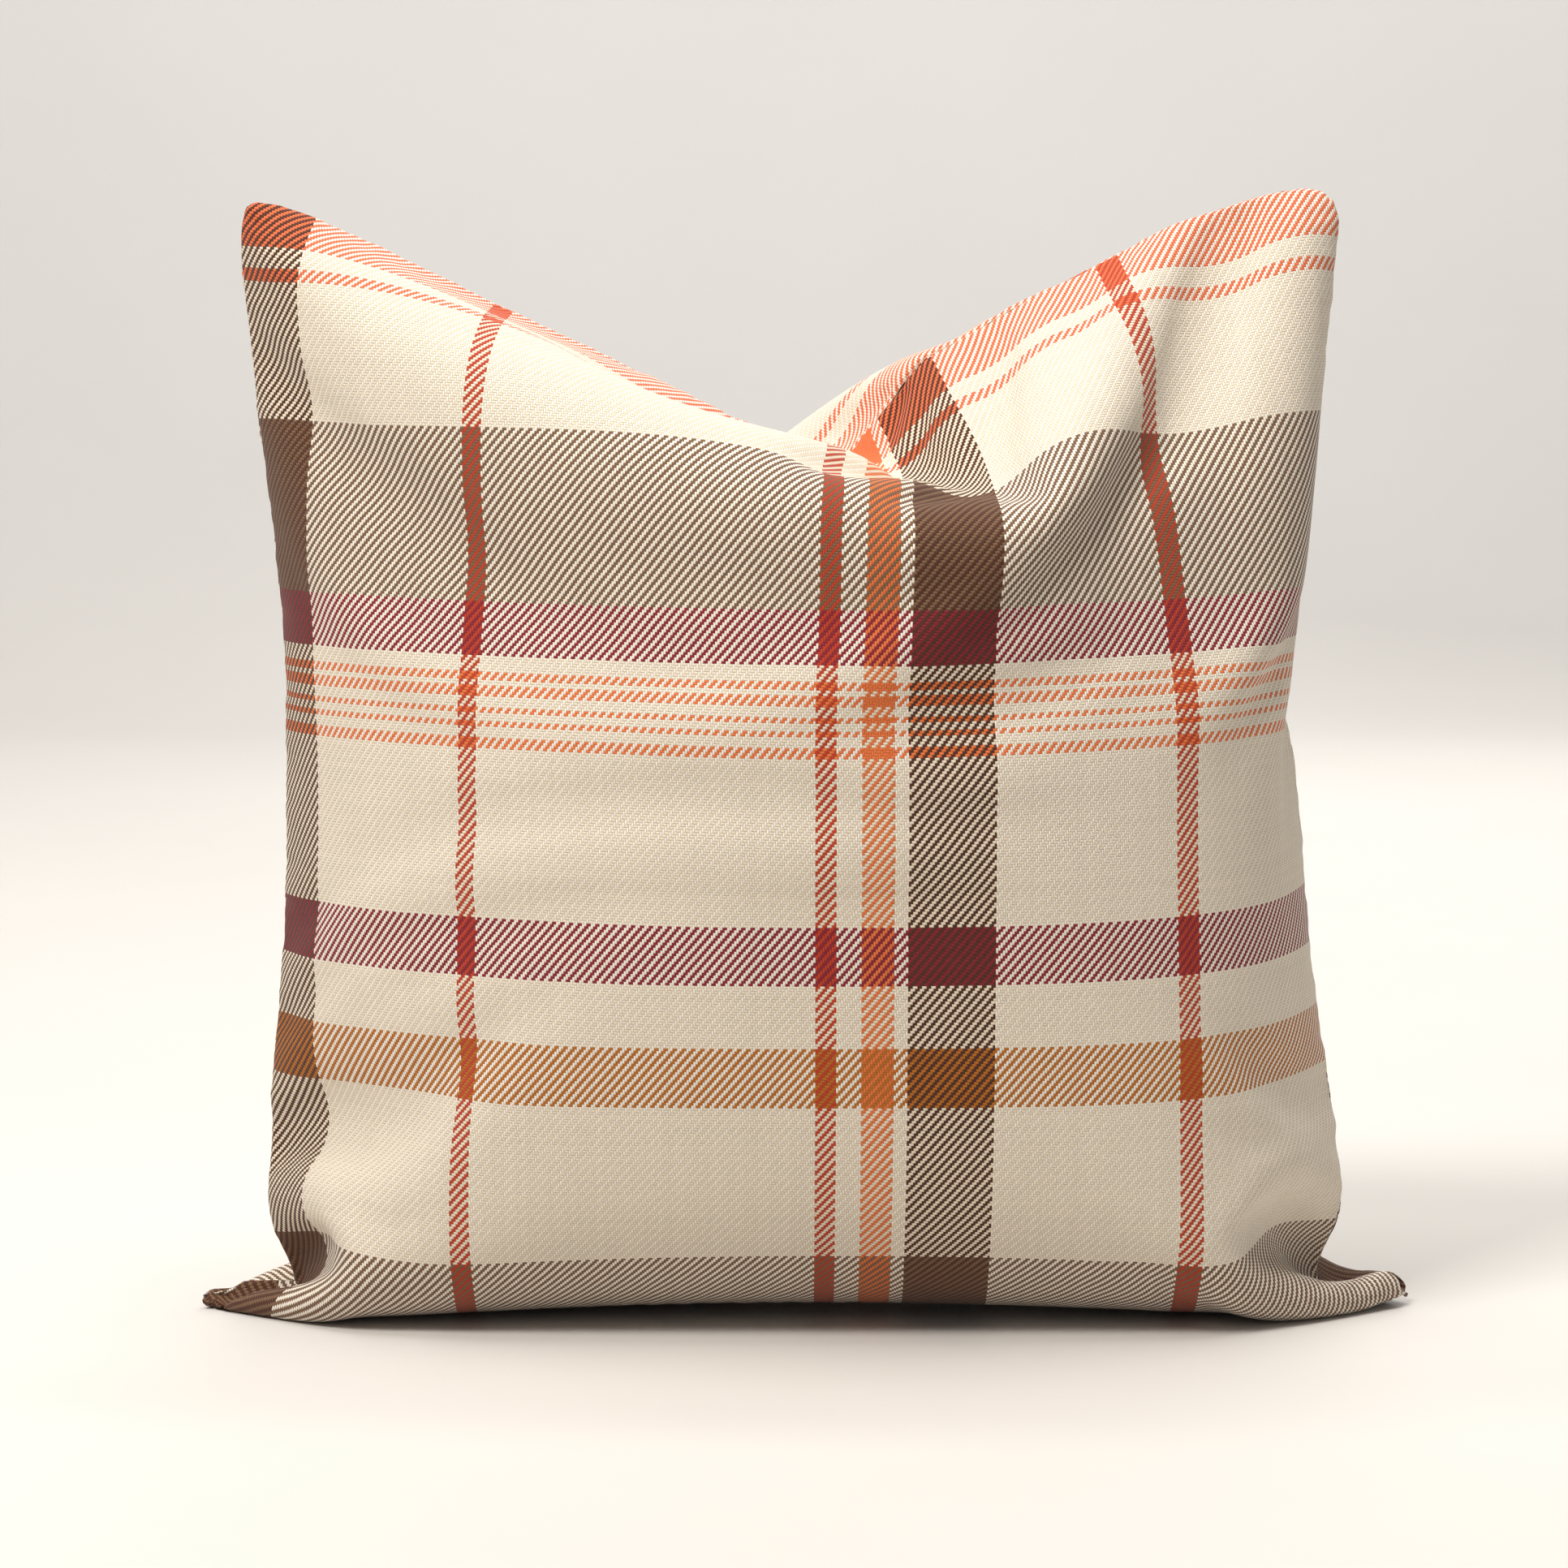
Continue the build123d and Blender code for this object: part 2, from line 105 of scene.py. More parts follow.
def solve(P, rest, k_stretch=1.0, k_press=0.35, k_shear=0.12, k_bend=0.08, k_bend4=0.05):
    for o in (0, 1):
        pull(P[:, o:-1:2], P[:, o + 1::2], rest, k_stretch, k_press)
        pull(P[:, :, o:-1:2], P[:, :, o + 1::2], rest, k_stretch, k_press)
    weld(P)
    dg = rest * math.sqrt(2)
    for o in (0, 1):
        pull(P[:, o:-1:2, :-1], P[:, o + 1::2, 1:], dg, k_shear, k_shear)
        pull(P[:, o:-1:2, 1:], P[:, o + 1::2, :-1], dg, k_shear, k_shear)
    if k_bend:
        for o in range(4):
            a, b = P[:, o:-2:4], P[:, o + 2::4]
            m = min(a.shape[1], b.shape[1])
            pull(a[:, :m], b[:, :m], 2 * rest, 0.0, k_bend)
            a, b = P[:, :, o:-2:4], P[:, :, o + 2::4]
            m = min(a.shape[2], b.shape[2])
            pull(a[:, :, :m], b[:, :, :m], 2 * rest, 0.0, k_bend)
    if k_bend4:
        for o in range(8):
            a, b = P[:, o:-4:8], P[:, o + 4::8]
            m = min(a.shape[1], b.shape[1])
            pull(a[:, :m], b[:, :m], 4 * rest, 0.0, k_bend4)
            a, b = P[:, :, o:-4:8], P[:, :, o + 4::8]
            m = min(a.shape[2], b.shape[2])
            pull(a[:, :, :m], b[:, :, :m], 4 * rest, 0.0, k_bend4)
    weld(P)

def normals(P):
    du = np.empty_like(P); dv = np.empty_like(P)
    du[:, 1:-1] = (P[:, 2:] - P[:, :-2]) * 0.5; du[:, 0] = P[:, 1] - P[:, 0]; du[:, -1] = P[:, -1] - P[:, -2]
    dv[:, :, 1:-1] = (P[:, :, 2:] - P[:, :, :-2]) * 0.5; dv[:, :, 0] = P[:, :, 1] - P[:, :, 0]; dv[:, :, -1] = P[:, :, -1] - P[:, :, -2]
    n = np.cross(du, dv)
    n[1] *= -1
    return n          # area-weighted, outward

def volume(P, n=None):
    n = normals(P) if n is None else n
    w = np.ones(P.shape[1:3]); w[0] *= .5; w[-1] *= .5; w[:, 0] *= .5; w[:, -1] *= .5
    return float(np.einsum("pijk,pijk,ij->", P, n, w)) / 3

WEDGE = dict(p=np.array([0.006, 0.0, 0.354]), heading=math.radians(128), half=math.radians(27), r=0.013, pitch=0.10)

def wedge_push(P, depth=1.0, k=1.0):
    """Keeps cloth out of an upright blade with a rounded lower edge."""
    h = WEDGE["heading"]
    along = np.array([math.cos(h), math.sin(h), 0.0])
    side = np.array([-math.sin(h), math.cos(h), 0.0])
    q = P - WEDGE["p"]
    s = q @ along
    zed = WEDGE["p"][2] + WEDGE["pitch"] * np.abs(s) * -1.0 + (1 - depth) * 0.14     # lower towards front and back
    a = q @ side
    zz = P[..., 2] - zed
    # distance to a wedge opening upwards
    c, sn = math.cos(WEDGE["half"]), math.sin(WEDGE["half"])
    r = WEDGE["r"]
    aa = np.abs(a)
    t = aa * sn + (zz - 0) * c           # along the flank
    dist_flank = aa * c - zz * sn - 0.0  # >0 outside
    dist_tip = np.sqrt(a * a + zz * zz)
    d = np.where(t > 0, dist_flank, dist_tip)
    pen = r - d
    m = (pen > 0) & (zz > -r)
    nz = np.where(t > 0, -sn, zz / (dist_tip + 1e-9))
    na = np.where(t > 0, c * np.sign(a), a / (dist_tip + 1e-9))
    push = np.where(m, pen, 0.0) * k
    P += (push * na)[..., None] * side
    P[..., 2] += push * nz
    return m

def simulate(n, P, steps, iters, vol_target, p0=0.00006, seam_k=0.03, corner_k=0.4, depth=lambda s: 1.0, grav=2.0e-5,
             face_k=0.005, damp=0.92, **kw):
    rest = SIDE / n
    t = np.linspace(0, 1, n + 1)
    L, R, T, B = (lookup(t, k) for k in (LEFT, RIGHT, TOPS, BOTTOM))
    old = P.copy()
    sw = lookup(t, SIDE_W)[:, 0] * seam_k
    uu, vv = np.meshgrid(t, t, indexing="ij")
    bump = 1 - np.abs(2 * uu - 1) ** 3
    aim = bump * lookup(t, MID_Z)[:, 0][None] + (1 - bump) * ((1 - uu) * L[:, 1][None] + uu * R[:, 1][None])
    hold = np.clip((vv - 0.22) / 0.08, 0, 1) * np.clip((uu - 0.05) / 0.08, 0, 1) * np.clip((0.95 - uu) / 0.08, 0, 1)
    dent = np.clip(1.3 - np.abs(uu - 0.52) / 0.20, 0, 1)
    hold = hold * np.clip((0.80 - 0.30 * dent - vv) / 0.06, 0, 1) * face_k
    for s in range(steps):
        nrm = normals(P)
        vol = volume(P, nrm)
        press = p0 * max(0.05, 1 + 12 * (vol_target - vol) / vol_target)
        z = P[..., 2:3]
        acc = nrm / (rest * rest) * press * np.interp(z, PZ, PF)
        acc[..., 2] -= grav
        new = P + (P - old) * damp + acc
        old = P
        P = new
        weld(P)
        step_max = 0.004
        dd = P - old
        ln = np.sqrt((dd * dd).sum(-1, keepdims=True)) + 1e-12
        P = old + dd * np.minimum(1, step_max / ln)
        for _ in range(iters):
            solve(P, rest, **kw)
            # seams as measured
            for p in (0, 1):
                P[p, 0, :, 0] += sw * (L[:, 0] - P[p, 0, :, 0]); P[p, 0, :, 2] += sw * (L[:, 1] - P[p, 0, :, 2])
                P[p, -1, :, 0] += sw * (R[:, 0] - P[p, -1, :, 0]); P[p, -1, :, 2] += sw * (R[:, 1] - P[p, -1, :, 2])
                P[p, :, -1, 0] += seam_k * (T[:, 0] - P[p, :, -1, 0]); P[p, :, -1, 2] += seam_k * (T[:, 1] - P[p, :, -1, 2])
                if p == 0:
                    P[0, ..., 2] += hold * (aim - P[0, ..., 2])
                P[p, 0, :, 1] *= 1 - sw * 1.5
                P[p, -1, :, 1] *= 1 - sw * 1.5
                P[p, :, -1, 1] *= 1 - seam_k * 1.5
                P[p, :, 0, 1] *= 0.95
                P[p, :, 0, 0] += 0.5 * seam_k * (B[:, 0] - P[p, :, 0, 0])
                P[p, :, 0, 2] += 0.2 * (B[:, 1] - P[p, :, 0, 2])
            for (i, j), c in (((0, 0), (-0.244, -0.012, 0.012)), ((-1, 0), (0.247, -0.008, 0.008)),
                              ((0, -1), (-0.2285, 0, 0.4515)), ((-1, -1), (0.2105, 0, 0.4530))):
                for p in (0, 1):
                    P[p, i, j] += corner_k * (np.array(c) - P[p, i, j])
            wedge_push(P, depth(s / max(1, steps - 1)))
            weld(P)
            low = P[..., 2] < 0.0006
            P[..., 2][low] = 0.0006
            P[low, :2] = old[low, :2] * 0.7 + P[low, :2] * 0.3
    return P

def refine(P):
    """Doubles the grid: cubic midpoints."""
    def up(A, axis):
        A = np.moveaxis(A, axis, 0)
        n = A.shape[0] - 1
        out = np.empty((2 * n + 1,) + A.shape[1:])
        out[::2] = A
        mid = 0.5 * (A[:-1] + A[1:])
        mid[1:-1] = (9 * (A[1:-2] + A[2:-1]) - (A[:-3] + A[3:])) / 16
        out[1::2] = mid
        return np.moveaxis(out, 0, axis)
    return up(up(P, 1), 2)

VOL = 0.0205
PZ = [0.0, 0.05, 0.15, 0.30, 0.45]
PF = [1.6, 1.5, 1.1, 0.7, 0.7]
A28 = dict(p0=0.0006, grav=1e-5, k_press=0.3, k_bend=0.05, k_bend4=0.0)
A56 = dict(p0=0.0003, grav=1e-5, k_press=0.3, k_bend=0.10, k_bend4=0.03)
A112 = dict(p0=0.00015, grav=1e-5, k_press=0.3, k_bend=0.15, k_bend4=0.08)

Y_SCALE = 0.93          # the solver comes out about 7 % deeper than the CAD pillow, and is scaled to its depth


def settled():
    """Front and back panel of the cover, welded at the seams: (2, 113, 113, 3)."""
    P = start_shape(28)
    P = simulate(28, P, 160, 12, VOL, depth=lambda s: min(1, 0.2 + s * 1.2), **A28)
    P = refine(P)
    P = simulate(56, P, 140, 14, VOL, **A56)
    P = refine(P)
    P = simulate(112, P, 90, 16, VOL, **A112)
    P[..., 1] *= Y_SCALE
    return P


COVER = settled()
MM = 0.001
SIDE_MM = SIDE * 1000
CLOTH_T = 1.0            # mm, cover cloth with its loft


def unit(a):
    return a / (np.linalg.norm(a, axis=-1, keepdims=True) + 1e-12)


FINE = refine(refine(COVER))                       # 448 cells a side
FINE_N = unit(normals(FINE))
COARSE_N = unit(normals(COVER))


def sample(A, tu, tv):
    """Values of grid A at the lines tu across tv, bilinear."""
    n = A.shape[0] - 1
    fu, fv = np.clip(np.asarray(tu), 0, 1) * n, np.clip(np.asarray(tv), 0, 1) * n
    i, j = np.minimum(fu.astype(int), n - 1), np.minimum(fv.astype(int), n - 1)
    wu, wv = (fu - i)[:, None, None], (fv - j)[None, :, None]
    return ((A[i][:, j] * (1 - wu) + A[i + 1][:, j] * wu) * (1 - wv)
            + (A[i][:, j + 1] * (1 - wu) + A[i + 1][:, j + 1] * wu) * wv)


def sample_at(A, u, v):
    """Values of grid A at the points (u, v), any shape, bilinear."""
    n = A.shape[0] - 1
    fu, fv = np.clip(u, 0, 1) * n, np.clip(v, 0, 1) * n
    i, j = np.minimum(fu.astype(int), n - 1), np.minimum(fv.astype(int), n - 1)
    wu, wv = (fu - i)[..., None], (fv - j)[..., None]
    return ((A[i, j] * (1 - wu) + A[i + 1, j] * wu) * (1 - wv)
            + (A[i, j + 1] * (1 - wu) + A[i + 1, j + 1] * wu) * wv)


def lines(n, near):
    e = np.array(near, float) / SIDE_MM
    return np.concatenate([[0.0], e, np.arange(1, n) / n, 1 - e[::-1], [1.0]])


# ------------------------------------------------------------------ meshes
def new_object(name, verts, faces, uvs=None, smooth=True):
    me = bpy.data.meshes.new(name)
    me.from_pydata(np.asarray(verts, float).reshape(-1, 3).tolist(), [], faces)
    if uvs:
        loop_v = np.empty(len(me.loops), np.int64)
        me.loops.foreach_get("vertex_index", loop_v)
        for key, uv in uvs.items():
            layer = me.uv_layers.new(name=key)
            layer.data.foreach_set("uv", np.asarray(uv, np.float32)[loop_v].ravel())
    me.polygons.foreach_set("use_smooth", [smooth] * len(me.polygons))
    me.update()
    ob = bpy.data.objects.new(name, me)
    bpy.context.scene.collection.objects.link(ob)
    return ob


def grid_faces(nu, nv, base=0, flip=False):
    i, j = np.meshgrid(np.arange(nu - 1), np.arange(nv - 1), indexing="ij")
    a = base + i * nv + j
    q = np.stack([a, a + nv, a + nv + 1, a + 1], -1).reshape(-1, 4)
    return (q[:, ::-1] if flip else q).tolist()


def rim_loop(nu, nv, tu, tv, base=0):
    """Boundary of a grid: (vertex, running parameter), anticlockwise from the low corner."""
    out = [(base + i * nv, tu[i]) for i in range(nu)]
    out += [(base + (nu - 1) * nv + j, 1 + tv[j]) for j in range(1, nv)]
    out += [(base + i * nv + nv - 1, 3 - tu[i]) for i in range(nu - 2, -1, -1)]
    out += [(base + j, 4 - tv[j]) for j in range(nv - 2, 0, -1)]
    return out


def stitch(loop_a, loop_b, flip=False):
    """Triangles and quads between two closed loops with running parameters."""
    a = loop_a + [(loop_a[0][0], 4.0)]
    b = loop_b + [(loop_b[0][0], 4.0)]
    i = j = 0
    faces = []
    while i < len(a) - 1 or j < len(b) - 1:
        if j == len(b) - 1 or (i < len(a) - 1 and a[i + 1][1] <= b[j + 1][1] + 1e-9):
            f = (a[i][0], a[i + 1][0], b[j][0])
            i += 1
        else:
            f = (a[i][0], b[j + 1][0], b[j][0])
            j += 1
        faces.append(f[::-1] if flip else f)
    return faces


def sheet_object(name, outer, inner, tu_o, tv_o, tu_i, tv_i, front, span=(0.0, 1.0, 0.0, 1.0), place=None):
    """Closed sheet from an outer and an inner point grid.  ClothUV is the place on the flat cloth."""
    nu, nv = outer.shape[:2]
    mu, mv = inner.shape[:2]
    base = nu * nv
    faces = grid_faces(nu, nv, 0, flip=not front) + grid_faces(mu, mv, base, flip=front)
    faces += stitch(rim_loop(nu, nv, tu_o, tv_o), rim_loop(mu, mv, tu_i, tv_i, base), flip=front)
    u0, u1, v0, v1 = span

    def flat(tu, tv):
        a, b = place(tu, tv) if place else np.meshgrid(tu, tv, indexing="ij")
        return np.stack([u0 + (u1 - u0) * a, v0 + (v1 - v0) * b], -1).reshape(-1, 2)

    fo, fi = flat(tu_o, tv_o), flat(tu_i, tv_i)
    # the two faces lie beside each other in the second layer: the outer one gets most of the room
    no = (fo - [u0, v0]) / [u1 - u0, v1 - v0]
    ni = (fi - [u0, v0]) / [u1 - u0, v1 - v0]
    bake = np.concatenate([no * [0.992, 0.86] + [0.004, 0.136], ni * [0.992, 0.12] + [0.004, 0.006]])
    return new_object(name, np.concatenate([outer.reshape(-1, 3), inner.reshape(-1, 3)]), faces,
                      {"ClothUV": np.concatenate([fo, fi]), "OFBake": bake})


def tube(name, path, radius, sides=6, closed=False, squash=1.0):
    """Round tube along points, with a steady frame."""
    p = np.asarray(path, float)
    t = unit(np.roll(p, -1, 0) - np.roll(p, 1, 0)) if closed else unit(np.gradient(p, axis=0))
    ref = np.zeros_like(t)
    ref[:, 1] = 1.0
    a = unit(np.cross(t, ref) + 1e-9)
    b = unit(np.cross(t, a))
    ang = 2 * np.pi * np.arange(sides) / sides
    r = (np.broadcast_to(np.asarray(radius, float), (len(p),)))[:, None, None]
    v = p[:, None] + r * (np.cos(ang)[None, :, None] * a[:, None] + squash * np.sin(ang)[None, :, None] * b[:, None])
    n = len(p)
    faces = []
    for k in range(n if closed else n - 1):
        m = (k + 1) % n
        for s in range(sides):
            q = (s + 1) % sides
            faces.append((k * sides + s, k * sides + q, m * sides + q, m * sides + s))
    if not closed:
        faces.append(tuple(range(sides))[::-1])
        faces.append(tuple((n - 1) * sides + s for s in range(sides)))
    return v.reshape(-1, 3), faces


# ------------------------------------------------------------------ the cover's two panels
def hash_wave(x, seed):
    """Smooth, fixed, irregular wave of x, about -1..1."""
    return (np.sin(x * 1.0 + seed) + 0.7 * np.sin(x * 2.13 + seed * 3.1) + 0.5 * np.sin(x * 3.71 + seed * 1.7)) / 2.2


def rounded(tu, tv, power=26.0):
    """Places on the cloth of a grid whose four corners are sewn round."""
    a, b = np.meshgrid(2 * np.asarray(tu) - 1, 2 * np.asarray(tv) - 1, indexing="ij")
    big = np.maximum(np.abs(a), np.abs(b)) + 1e-12
    r = big / (np.abs(a) ** power + np.abs(b) ** power + 1e-300) ** (1 / power)
    r = np.where(big > 0.3, r, 1.0)
    return 0.5 + 0.5 * a * r, 0.5 + 0.5 * b * r


def seam_edges(tu, tv):
    """For each side: distance of every point to it in mm, the seam's outward mean direction there and the front's own side."""
    u, v = np.meshgrid(tu, tv, indexing="ij")
    F, B = FINE_N[0], FINE_N[1]
    out = []
    for name, dist, pick, along in (
            ("left", u, lambda A: sample(A, [0.0], tv), v), ("right", 1 - u, lambda A: sample(A, [1.0], tv), v),
            ("top", 1 - v, lambda A: sample(A, tu, [1.0]), u), ("bottom", v, lambda A: sample(A, tu, [0.0]), u)):
        f, b = unit(pick(F)), unit(pick(B))
        out.append((name, dist * SIDE_MM, unit(f + b + [0, 0, 1e-6]), unit(f - b), along * SIDE_MM))
    return out


def cover_surface(p, tu, tv, half):
    """Panel p (0 front, 1 back), moved half mm along its normal, with the seam's crease and puckers."""
    ru, rv = rounded(tu, tv)
    pos = sample_at(FINE[p], ru, rv)
    nor = unit(sample_at(FINE_N[p], ru, rv))
    edges = seam_edges(tu, tv)
    near = np.minimum.reduce([e[1] for e in edges])
    # cloth thickness fades into the seam
    q = pos + nor * (MM * half * (1 - 0.85 * np.exp(-near / 0.9)))[..., None]
    side = 1.0 if p == 0 else -1.0
    for k, (name, dist, outward, across, along) in enumerate(edges):
        sink = 1.15 * np.exp(-(dist / 1.25) ** 2)
        gap = 0.16 * np.exp(-dist / 2.0)
        if name == "bottom":
            run = np.clip((200.0 - np.abs(pos[..., 0:1] * 1000)) / 12.0, 0, 1)[..., 0]
            open_ = run * run * (3 - 2 * run) * np.exp(-(dist / 5.0) ** 2)
            q = q + np.array([0, -1.0, 0]) * (side * MM * 1.45 * open_)[..., None]
            sink = sink * (1 - 0.5 * run)
        q = q - outward * (MM * sink)[..., None] + across * (side * MM * gap)[..., None]
        # puckers of the lock stitch, and a slow irregular gather
        wave = 0.16 * hash_wave(along * 2 * np.pi / 7.5, 1.3 * k + 2.1 * p) * np.exp(-dist / 3.0) \
            + 0.42 * hash_wave(along * 2 * np.pi / 31.0, 4.1 * k + 1.1 * p) * np.exp(-(dist - 4) ** 2 / 90.0)
        q = q + nor * (MM * wave * (0.0 if name == "bottom" else 1.0))[..., None]
    low = 0.00002 + (0.0 if half > 0 else 0.00085)
    q[..., 2] = np.maximum(q[..., 2], low)
    return q


t_out = lines(224, (0.45, 1.0, 1.6))
t_in = lines(112, (1.2,))
covers = []
for p, name in enumerate(("cover_front_cloth", "cover_back_cloth")):
    ob = sheet_object(name, cover_surface(p, t_out, t_out, CLOTH_T / 2), cover_surface(p, t_in, t_in, -CLOTH_T / 2),
                      t_out, t_out, t_in, t_in, front=p == 0, place=rounded)
    covers.append(ob)
cover_front, cover_back = covers


# ------------------------------------------------------------------ insert, nested in the cover
def closed_bvh(pair):
    """Search tree of a front and a back grid, wound outwards."""
    n = pair[0].shape[0]
    verts = np.concatenate([pair[0].reshape(-1, 3), pair[1].reshape(-1, 3)])
    faces = grid_faces(n, n, 0) + grid_faces(n, n, n * n, flip=True)
    return BVHTree.FromPolygons(verts.tolist(), faces)


def smooth_pair(pair, k):
    for q in pair:
        avg = 0.25 * (q[2:, 1:-1] + q[:-2, 1:-1] + q[1:-1, 2:] + q[1:-1, :-2])
        q[1:-1, 1:-1] += k * (avg - q[1:-1, 1:-1])
    for sl in ((0, slice(None)), (-1, slice(None)), (slice(None), 0), (slice(None), -1)):
        m = 0.5 * (pair[0][sl] + pair[1][sl])
        sm = m.copy()
        sm[1:-1] = 0.5 * m[1:-1] + 0.25 * (m[2:] + m[:-2])
        pair[0][sl] = pair[1][sl] = sm


def push_in(pair, tree, depth, rounds, smooth, pull=0.8):
    """Moves every point of a smaller cushion at least depth metres under the surface of the tree."""
    for r in range(rounds):
        if smooth and r < rounds - 3:
            smooth_pair(pair, smooth)
        for q in pair:
            flatq = q.reshape(-1, 3)
            for k in range(len(flatq)):
                near, nrm, _, dist = tree.find_nearest(Vector(flatq[k]))
                out = (Vector(flatq[k]) - near).dot(nrm)
                inside = out < 0
                have = dist if inside else -dist
                if have < depth:
                    flatq[k] -= np.array(nrm) * min(0.012, (depth - have) * pull)
        for sl in ((0, slice(None)), (-1, slice(None)), (slice(None), 0), (slice(None), -1)):
            pair[0][sl] = pair[1][sl] = 0.5 * (pair[0][sl] + pair[1][sl])
    return pair


def over_zipper(q, extra=0.0):
    low = MM * (2.4 + extra + 13.5 * np.exp(-(q[..., 1] / 0.013) ** 2)) * np.clip((0.203 - np.abs(q[..., 0])) / 0.02, 0, 1)
    q[..., 2] = np.maximum(q[..., 2], low)


def own_normals(pair):
    return unit(normals(np.stack(pair)))


N_IN = 84
t_mid = np.linspace(0, 1, N_IN + 1)
a_, b_ = np.meshgrid(t_mid, t_mid, indexing="ij")
inset = 14.0 / SIDE_MM
ru, rv = 0.5 + (a_ - 0.5) * (1 - 2 * inset), 0.5 + (b_ - 0.5) * (1 - 2 * inset)
cu, cv = rounded(t_mid, t_mid, 4.6)
ru, rv = 0.5 + (cu - 0.5) * (1 - 2 * inset), 0.5 + (cv - 0.5) * (1 - 2 * inset)
edge = np.minimum.reduce([a_, 1 - a_, b_, 1 - b_])[..., None] * SIDE_MM
cover_tree = closed_bvh(COVER)
insert_pair = [sample_at(COVER[p], ru, rv) - unit(sample_at(COARSE_N[p], ru, rv)) * 0.0032 for p in (0, 1)]
for sl in ((0, slice(None)), (-1, slice(None)), (slice(None), 0), (slice(None), -1)):
    insert_pair[0][sl] = insert_pair[1][sl] = 0.5 * (insert_pair[0][sl] + insert_pair[1][sl])
push_in(insert_pair, cover_tree, 0.0032, 9, 0.25)
for q in insert_pair:
    over_zipper(q)
insert_n = own_normals(insert_pair)
thin = 0.0008 * (1 - 0.8 * np.exp(-edge / 4.0))
shells = []
for p, name in enumerate(("insert_front_cloth", "insert_back_cloth")):
    apart = np.array([0, -0.00012 if p == 0 else 0.00012, 0])
    outer = insert_pair[p] + apart
    inner = insert_pair[p] - insert_n[p] * thin + apart * 0.3
    shells.append(sheet_object(name, outer, inner, t_mid, t_mid, t_mid, t_mid, front=p == 0))
insert_front, insert_back = shells

# the fill lies inside the shell's inner face
shell_in = [insert_pair[p] - insert_n[p] * thin for p in (0, 1)]
shell_tree = closed_bvh(shell_in)
fill_pair = [sample_at(q, 0.5 + (cu - 0.5) * 0.975, 0.5 + (cv - 0.5) * 0.975) for q in insert_pair]
for sl in ((0, slice(None)), (-1, slice(None)), (slice(None), 0), (slice(None), -1)):
    fill_pair[0][sl] = fill_pair[1][sl] = 0.5 * (fill_pair[0][sl] + fill_pair[1][sl])
push_in(fill_pair, shell_tree, 0.0012, 7, 0.2)
fill_n = own_normals(fill_pair)
tuft = 0.0005 * np.abs(hash_wave(a_ * 75 + 2.2 * hash_wave(b_ * 60, 1.0), 0.5))[..., None] * np.clip(edge / 10 - 0.5, 0, 1)
fill = sheet_object("fibre_fill_batt", fill_pair[0] - fill_n[0] * tuft, fill_pair[1] - fill_n[1] * tuft,
                    t_mid, t_mid, t_mid, t_mid, front=True)


def label(name, p, span, depth, thick):
    """Small cloth label lying along a panel."""
    u0, u1, v0, v1 = span
    t = np.linspace(0, 1, 15)
    tu, tv = u0 + (u1 - u0) * t, v0 + (v1 - v0) * t
    own, nn = sample(COVER[p], tu, tv), unit(sample(COARSE_N[p], tu, tv))
    outer, inner = own - nn * (depth * MM), own - nn * ((depth + thick) * MM)
    return sheet_object(name, outer, inner, t, t, t, t, front=p == 0)


care = label("care_label_tape", 1, (0.10, 0.17, 0.16, 0.23), 1.0, 0.35)
maker = label("insert_label_tape", 1, (0.62, 0.69, 0.20, 0.28), 2.3, 0.35)


# ------------------------------------------------------------------ threads
def thread(name, path, pitch, radius):
    """Lock stitch along a path: a tube that dips at each needle hole."""
    p = np.asarray(path, float)
    seg = np.linalg.norm(np.diff(p, axis=0), axis=1)
    arc = np.concatenate([[0], np.cumsum(seg)])
    n = int(arc[-1] / (pitch / 6))
    s = np.linspace(0, arc[-1], n)
    q = np.stack([np.interp(s, arc, p[:, k]) for k in range(3)], -1)
    dip = np.abs(np.sin(np.pi * s / pitch)) ** 0.5
    q[:, 1] += 0.00016 * (dip - 0.6)
    v, f = tube(name, q, radius * (0.72 + 0.28 * dip), 5)
    return new_object(name, v, f)


def border_path(grid_f, grid_b, back):
    """Middle of two grids along left, top and right of the sewn outline, moved inward by back metres."""
    k = np.arange(1, 448) / 448.0
    tu = np.concatenate([0 * k, k, 0 * k + 1])
    tv = np.concatenate([k, 0 * k + 1, k[::-1]])
    a, b = 2 * tu - 1, 2 * tv - 1
    r = 1.0 / (np.abs(a) ** 26.0 + np.abs(b) ** 26.0) ** (1 / 26.0) * (1 - 2 * back / (SIDE_MM * MM))
    u, v = (0.5 + 0.5 * a * r)[:, None], (0.5 + 0.5 * b * r)[:, None]
    return 0.5 * (sample_at(grid_f, u, v) + sample_at(grid_b, u, v))[:, 0]


seam_line = thread("cover_seam_stitches", border_path(FINE[0], FINE[1], 0.0024), 0.003, 0.00016)
m_ = 0.5 * (insert_pair[0] + insert_pair[1])
ring = np.concatenate([m_[:-1, 1], m_[-2, 1:-1], m_[-2:0:-1, -2], m_[1, -2:0:-1]])
insert_line = thread("insert_seam_stitches", np.concatenate([ring, ring[:1]]), 0.0035, 0.00016)


